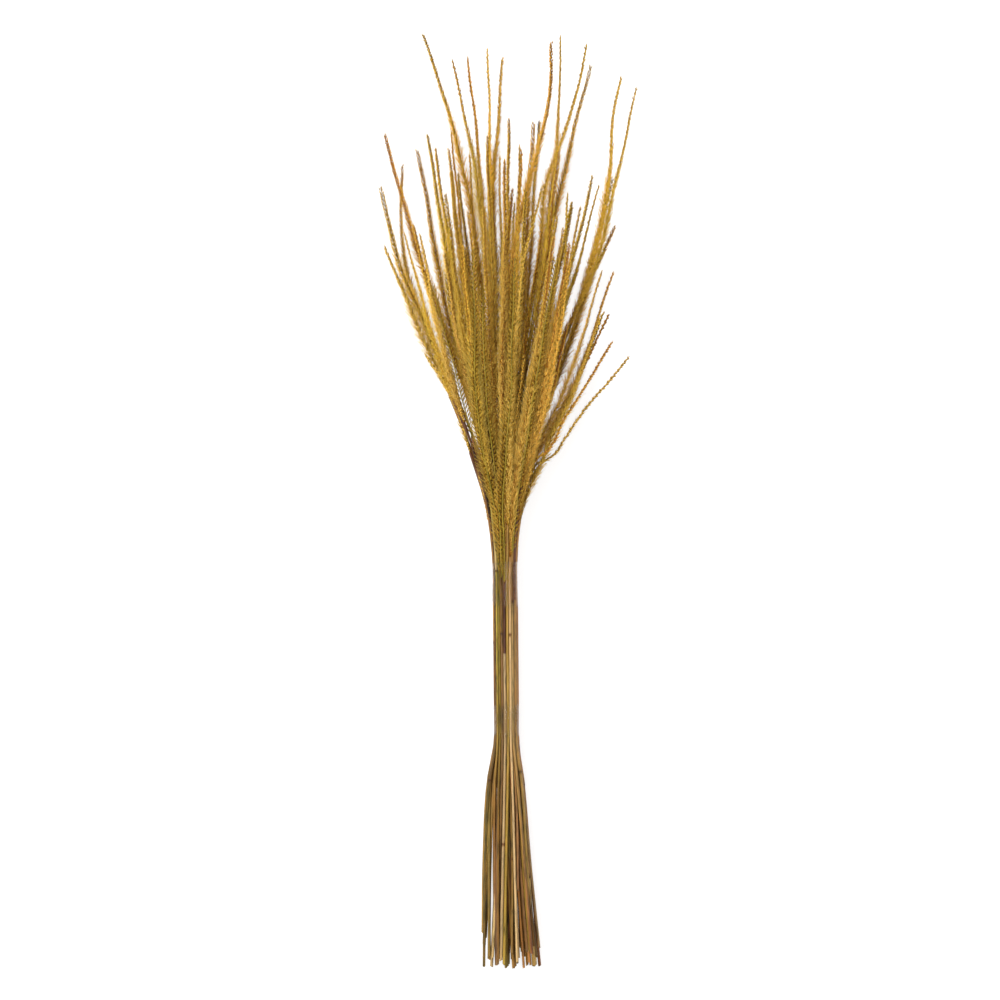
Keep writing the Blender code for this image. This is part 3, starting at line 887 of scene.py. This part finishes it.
def culm_tints(slot, length, random):
    """Places along a culm and its colour there, from its foot's palette to its top's."""
    foot, top = (np.array(colours) for colours in CULM_COLOURS[slot])
    places = np.linspace(0.0, length, max(int(length / COLOUR_SPAN), 3))
    share = np.clip((places / length - 0.25) / 0.3, 0.0, 1.0)[:, None]
    low = foot[random.integers(len(foot), size=2)]
    high = top[random.integers(len(top), size=2)]
    mix = random.uniform(0.0, 1.0, (len(places), 1))
    colours = (low[0] * mix + low[1] * (1.0 - mix)) * (1.0 - share)
    colours += (high[0] * mix + high[1] * (1.0 - mix)) * share
    return places, colours * random.uniform(*PLACE_TONE, (len(places), 1)) * random.uniform(*CULM_TONE)

print(sum(len(set(foot + top)) for foot, top in CULM_COLOURS.values()), "colours for culms")

# %% [markdown]
# ## How spikes differ
#
# Each spike draws its own look: size, roll and twist, how far its bristles open, and a tone that
# makes its haze lighter or darker and more or less yellow. Five front spikes lie open on top of
# the bunch. They have fewer bristles, which stand in neat tufts, larger husks and a bare
# yellow-green rib. On all others the rib has the colour of the husks.

# %% Looks of spikes
SPIKE_COLOURS = [dict(zip(("husk", "husk_tip", "rib"), palette(*row))) for row in (
    ((162, 108, 22), (224, 174, 66), (150, 128, 34)), ((154, 112, 22), (208, 168, 60), (150, 130, 38)),
    ((150, 90, 22), (212, 152, 58), (146, 118, 34)), ((174, 124, 30), (236, 192, 90), (156, 134, 38)))]
BRISTLE_COLOUR = linear(186, 122, 30)
PALE_BRISTLE_COLOUR = linear(248, 200, 86)
BRISTLE_TIP_COLOUR = linear(255, 224, 124)
FRONT_COLOUR = 1
FRONT_LOOK = {"bristles": 0.75, "bristle_length": 0.95, "open": (34.0, 48.0), "swing": 12.0, "rows": 0.12,
              "rib_bare": 0.8, "husk_scale": 1.6, "shadow": 0.16, "light": 1.05, "painted_shade_row": 1.0}
OTHER_LOOK = {"bristles": 1.2, "open": (20.0, 42.0), "swing": 50.0, "rows": 0.2, "rib_bare": 0.05,
              "shadow": 0.09, "light": 1.5}
FRONT_PALENESS = 0.52
FRONT_TIP = 0.64
SIDEWAYS = 1.15


def spike_look(random, front=False):
    """How one spike differs from the others."""
    look = dict(SPIKE_COLOURS[FRONT_COLOUR if front else random.integers(len(SPIKE_COLOURS))])
    look.update(FRONT_LOOK if front else OTHER_LOOK)
    brightness = random.uniform(0.74, 1.12)
    tone = np.array((1.0, random.uniform(0.84, 0.98), random.uniform(0.45, 0.85))) * brightness
    look["bristle"] = np.array(BRISTLE_COLOUR) * tone
    look["pale_bristle"] = np.array(PALE_BRISTLE_COLOUR) * tone
    look["bristle_tip"] = np.array(BRISTLE_TIP_COLOUR) * tone
    if not front:
        look["bristle_length"] = random.uniform(0.7, 1.1)
        look["husk_scale"] = random.uniform(0.88, 1.05)
        # painted side light on one row of husks, darker or lighter than the other
        look["painted_shade_row"] = random.uniform(0.72, 1.1)
    look["brown_tip"] = max(random.uniform(-0.8, 0.4), 0.0)
    look["size"] = random.uniform(0.92, 1.2)
    if front:
        look["roll"] = random.normal(0.0, 0.12)
        look["twist"] = random.normal(0.0, 0.15)
        look["pale_bristle"] = look["pale_bristle"] * FRONT_PALENESS
        look["bristle_tip"] = look["bristle_tip"] * FRONT_TIP
    else:
        look["roll"] = random.normal(0.0, 0.3) + random.choice((-SIDEWAYS, SIDEWAYS))
        look["twist"] = random.normal(0.0, 0.35)
        look["rib"] = look["husk"]
    return look


print(len(SPIKE_COLOURS), "spike colours")

# %% [markdown]
# ## The fifty-eight modelled stems
#
# Where a spike starts can be read from the plain tube, which widens there in a known way: the
# start that fits the tube's radii best is the right one.

# %% Where spikes start
SPIKE_SHARES = (0.0, 0.3, 0.65, 0.88, 1.0)
SPIKE_RADII = (0.95, 1.75, 1.75, 1.2, 0.45)
SHORTEST_SPIKE = 65.0
LONGEST_SPIKE = 262.0
START_STEP = 2.0
WIDEST_CULM = 1.1
CULM_TOP_RADIUS = 0.78


def spike_start(at, radii):
    """Distance from the cut at which a plain tube turns from culm to spike."""
    best = None
    for start in np.arange(at[-1] - LONGEST_SPIKE, at[-1] - SHORTEST_SPIKE, START_STEP):
        in_spike = at > start
        share = (at[in_spike] - start) / (at[-1] - start)
        misfit = np.abs(np.interp(share, SPIKE_SHARES, SPIKE_RADII) - radii[in_spike]).sum()
        too_wide = ~in_spike & (radii > WIDEST_CULM)
        misfit += np.clip(radii[~in_spike] - WIDEST_CULM, 0.0, None).sum() + 0.05 * too_wide.sum()
        misfit += 0.1 * np.abs(radii[~in_spike][-1] - CULM_TOP_RADIUS)
        if best is None or misfit < best[0]:
            best = (misfit, start)
    return best[1]


starts = {node: spike_start(lengths(middles), radii) for node, (middles, radii) in rings.items()}
print("spikes from", round(min(starts.values())), "to", round(max(starts.values())), "mm")

# %% [markdown]
# ## Dressing a stem
#
# A dry spike isn't straight, so its line gets slight waves above the culm. Culm, rib, husks and
# bristles are made along it as one piece, from the stem's own random draws, so that a stem looks
# the same each time. Bent stems carry few, short bristles, and stems in the shade of others get
# painted shade: their culms are darker.

# %% Dress one stem
WAVE = 0.3
WAVE_SPANS = (61.0, 140.0)
WAVE_GROWS_OVER = 60.0
GIRTH = (0.78, 1.12)
SHEATH_TONE = (0.6, 0.95)
INNER_SHADE = np.array((0.34, 0.26, 0.18))
INNER_BRISTLES = 0.7
BARE_BRISTLES = 0.35
BARE_LENGTH = 0.6
RIB_START = 0.8


def waved(line, at, start, random):
    """A line with the slight waves of a dry spike."""
    _, side, up = directions(line)
    grow = np.clip((at - start) / WAVE_GROWS_OVER, 0.0, 1.0)[:, None]
    for span in WAVE_SPANS:
        phase = random.uniform(0.0, math.tau, 2)
        swing = np.sin(math.tau * at / span + phase[0]), np.sin(math.tau * at / span + phase[1])
        line = line + grow * WAVE * (side * swing[0][:, None] + up * swing[1][:, None])
    return line


def dress_stem(name, line, start, slot, number, room=None, front=False, bare=False):
    """Culm and spike of one stem as one piece."""
    random = np.random.default_rng(4000 + number)
    at = lengths(line)
    line = waved(line, at, start, random)
    tints_at, tints = culm_tints(slot, start, random)
    sheath = np.array(SHEATH_COLOURS[random.integers(len(SHEATH_COLOURS))]) * random.uniform(*SHEATH_TONE)
    # painted shade: stems in between get darker culm and sheath colours
    shade = 1.0 if room is None else INNER_SHADE
    girth = random.uniform(*GIRTH)
    parts = culm_parts(line, at, start, girth, tints_at, tints * shade, sheath * shade, number, random, room)
    spike = spike_look(random, front)
    spike["bristles"] *= 1.0 if room is None else INNER_BRISTLES
    if bare:
        spike["bristles"] *= BARE_BRISTLES
        spike["bristle_length"] *= BARE_LENGTH
    spike["culm_radius"] = float(np.interp(start, *zip(*CULM_RADIUS))) * girth * RIB_START
    parts += spike_parts(line, at, start, spike, number, random)
    piece = make_piece(name, parts)
    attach(piece, "root")
    return piece


print("waves of", WAVE, "mm along spikes")

# %% [markdown]
# ## The modelled stems
#
# Each of the fifty-eight dressed stems is one piece that stands for its plain tube.

# %% Dress the modelled stems
FRONT_SPIKES = [f"grass_stem_{number}" for number in range(51, 56)]
BENT_STEMS = [f"grass_stem_{number}" for number in range(56, 59)]

triangle_count = 0
for number, node in enumerate(solid_names, start=1):
    piece = dress_stem(f"stem_{number:02d}", lines[node], starts[node], slot_of_node[node], number,
                       front=node in FRONT_SPIKES, bare=node in BENT_STEMS)
    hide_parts(node)
    triangle_count += len(piece.data.polygons)
print(len(solid_names), "stems with", triangle_count, "triangles")

# %% [markdown]
# ## The stems in between
#
# The bunch has more stems than the plain model has tubes. Each of the others grew between its
# neighbours, so its line is the middle of three modelled stems that lie round it in the tie, cut
# off a little below the shortest of them. The triangles between the stems in the tie give the
# threes, and the next one chosen is always the one whose line passes farthest from all spikes
# that are already there.

# %% Choose lines for the stems in between
EXTRA_STEMS = 36
TIE_MIDDLE = -110.0
CHOICE_Y = (80.0, 140.0)
straight = [name for name in solid_names if name not in BENT_STEMS]
ROWS_Y = np.arange(-345.0, 345.0, 3.0)


def across_at(line, y):
    """Where a line crosses planes at Y, as (x, z) rows; past its ends it keeps its end."""
    return np.stack((np.interp(y, line[:, 1], line[:, 0]), np.interp(y, line[:, 1], line[:, 2])), axis=-1)


tie_spots = [Vector(across_at(lines[name], TIE_MIDDLE)) for name in straight]
_, _, tie_triangles, order, _, _ = delaunay_2d_cdt(tie_spots, [], [], 0, 1e-4)
first_of = [spots[0] for spots in order]
candidates = []
for corners in tie_triangles:
    trio = [lines[straight[first_of[corner]]] for corner in corners]
    top = min(line[-1, 1] for line in trio)
    middle = np.mean([across_at(line, ROWS_Y) for line in trio], axis=0)
    bottom = max(line[0, 1] for line in trio)
    candidates.append((middle, bottom, top))
taken = [across_at(lines[name], np.array(CHOICE_Y)).ravel() for name in straight]
chosen = []
for _ in range(EXTRA_STEMS):
    spots = [np.concatenate([middle[np.searchsorted(ROWS_Y, y)] for y in CHOICE_Y])
             for middle, _, _ in candidates]
    clear = [np.min(np.linalg.norm(np.array(taken) - spot, axis=1)) for spot in spots]
    best = int(np.argmax(clear))
    chosen.append(candidates[best])
    taken.append(spots[best])
    candidates.pop(best)
print(len(chosen), "lines chosen,", len(candidates), "left over")

# %% [markdown]
# ## Growing them
#
# A stem in between ends below the shortest of its three neighbours, and is cut a little above
# them. Where its neighbours leave less room than a culm takes, it is thinner.

# %% Grow the stems in between
LOWEST_SPIKE = -25.0
BELOW_NEIGHBOURS = (8.0, 90.0)
ABOVE_CUTS = (0.0, 14.0)
KNOT_EVERY = 5
NEIGHBOUR_RADIUS = 0.95
THINNEST = 0.3
WIDEST = 0.95
INNER_SPIKE = (150.0, 190.0)
INNER_SLOTS = ("golden_straw", "golden_straw", "olive_straw", "purple_brown_straw")

extra_triangles = 0
solid_rows = np.stack([across_at(lines[name], ROWS_Y) for name in solid_names])
for count, (middle, bottom, top) in enumerate(chosen, start=1):
    number = len(solid_names) + count
    random = np.random.default_rng(7000 + number)
    tip = top - random.uniform(*BELOW_NEIGHBOURS)
    cut = bottom + random.uniform(*ABOVE_CUTS)
    inside = (ROWS_Y > cut) & (ROWS_Y < tip)
    knots = np.column_stack((middle[inside, 0], ROWS_Y[inside], middle[inside, 1]))
    line = smooth_line(knots[::KNOT_EVERY])
    gaps = np.linalg.norm(solid_rows - middle[None], axis=2).min(axis=0)
    room = np.clip(np.interp(line[:, 1], ROWS_Y, gaps) - NEIGHBOUR_RADIUS, THINNEST, WIDEST)
    along = lengths(line)
    start = max(along[-1] - random.uniform(*INNER_SPIKE), np.interp(LOWEST_SPIKE, line[:, 1], along))
    slot = INNER_SLOTS[random.integers(len(INNER_SLOTS))]
    piece = dress_stem(f"inner_stem_{count:02d}", line, start, slot, number, room=room)
    extra_triangles += len(piece.data.polygons)
print(EXTRA_STEMS, "more stems with", extra_triangles, "triangles")

# %% [markdown]
# ## The clear film
#
# Two bands of clear wrapping film hold the stems. Film pulled tight follows the outermost stems
# and bridges the dips between them, so its outline is the convex hull of the culms, a little
# looser in places, with low pleats. The film is a thin closed shell with plain transmission. Real
# film bends light more, but at this size that shows as grey bands, so its index is kept low.

# %% Film material
FILM_ROUGHNESS = 0.03
FILM_INDEX = 1.14

clear_film = bpy.data.materials.new("clear_film")
clear_film.use_nodes = True
set_inputs(clear_film.node_tree.nodes["Principled BSDF"],
           {"Base Color": WHITE, "Roughness": FILM_ROUGHNESS, "Transmission Weight": 1.0,
            "IOR": FILM_INDEX})
print("clear film of index", FILM_INDEX)

# %% Outline of the tied stems
CIRCLE_POINTS = 10
FILM_CULM_RADIUS = 1.12
PARALLEL = 1e-9
EDGE_SLACK = 1e-6


def hull_reach(y, middle, turns):
    """How far the convex hull of all culms reaches from the middle, in the given directions."""
    spots = []
    for name in solid_names:
        spot = across_at(lines[name], y) - middle
        for point in range(CIRCLE_POINTS):
            turn = math.tau * point / CIRCLE_POINTS
            spots.append(Vector((spot[0] + FILM_CULM_RADIUS * math.cos(turn),
                                 spot[1] + FILM_CULM_RADIUS * math.sin(turn))))
    hull = np.array([spots[index] for index in convex_hull_2d(spots)])
    after = np.roll(hull, -1, axis=0)
    reach = []
    for turn in turns:
        ray = np.array((math.cos(turn), math.sin(turn)))
        edge = after - hull
        crossing = ray[0] * edge[:, 1] - ray[1] * edge[:, 0]
        crossing = np.where(np.abs(crossing) < PARALLEL, PARALLEL, crossing)
        far = (hull[:, 0] * edge[:, 1] - hull[:, 1] * edge[:, 0]) / crossing
        share = (hull[:, 0] * ray[1] - hull[:, 1] * ray[0]) / crossing
        reach.append(far[(far > 0.0) & (share > -EDGE_SLACK) & (share < 1.0 + EDGE_SLACK)].max())
    return np.array(reach)


def middle_at(y):
    """Middle of the modelled stems at one place along the bunch."""
    return np.mean([across_at(lines[name], y) for name in solid_names], axis=0)


tie_reach = hull_reach(TIE_MIDDLE, middle_at(TIE_MIDDLE), (0.0, math.pi))
print("tied stems are", tie_reach.sum().round(1), "mm wide")

# %% Film bands
FILMS = {"lower_clear_band": "lower_film", "upper_clear_band": "upper_film"}
FILM_THICKNESS = 0.05
FILM_CLEARANCE = 0.12
FILM_TURN = 96
FILM_ROWS = 14
END_ROOM = 0.6
PLEAT_DEPTH = 0.10
FILM_SKEW = 1.2

for number, (node, name) in enumerate(FILMS.items()):
    low, high = (np.array(corner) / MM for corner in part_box(node))
    random = np.random.default_rng(90 + number)
    turns = np.arange(FILM_TURN) / FILM_TURN * math.tau
    shells = []
    for layer in (0.0, FILM_THICKNESS):
        rows = []
        for row in range(FILM_ROWS):
            share = row / (FILM_ROWS - 1)
            y = low[1] + END_ROOM + share * (high[1] - low[1] - 2 * END_ROOM)
            middle = middle_at(y)
            reach = hull_reach(y, middle, turns) + FILM_CLEARANCE
            pleat = PLEAT_DEPTH * np.sin(turns * 9 + 5.0 * share + number) * np.sin(turns * 4 - 3.0 * share)
            reach = reach + np.clip(pleat, 0.0, None) + layer
            skew = FILM_SKEW * np.sin(turns + 0.8 + number)
            rows.append(np.column_stack((middle[0] + reach * np.cos(turns),
                                         y + skew * (share - 0.5),
                                         middle[1] + reach * np.sin(turns))))
        shells.append(np.array(rows))
    inner, outer = shells
    loop = np.concatenate((outer, inner[::-1], outer[:1]))
    corners = loop[:-1].reshape(-1, 3)
    triangles = grid_triangles(len(loop), FILM_TURN) % len(corners)
    mesh = bpy.data.meshes.new(name)
    mesh.from_pydata((corners * MM).tolist(), [], triangles.tolist())
    mesh.materials.append(clear_film)
    mesh.shade_smooth()
    mesh.set_sharp_from_angle(angle=math.radians(40.0))
    film = add_object(name, mesh)
    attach(film, "root")
    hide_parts(node)
    print(name, "from", corners[:, 1].min().round(1), "to", corners[:, 1].max().round(1))
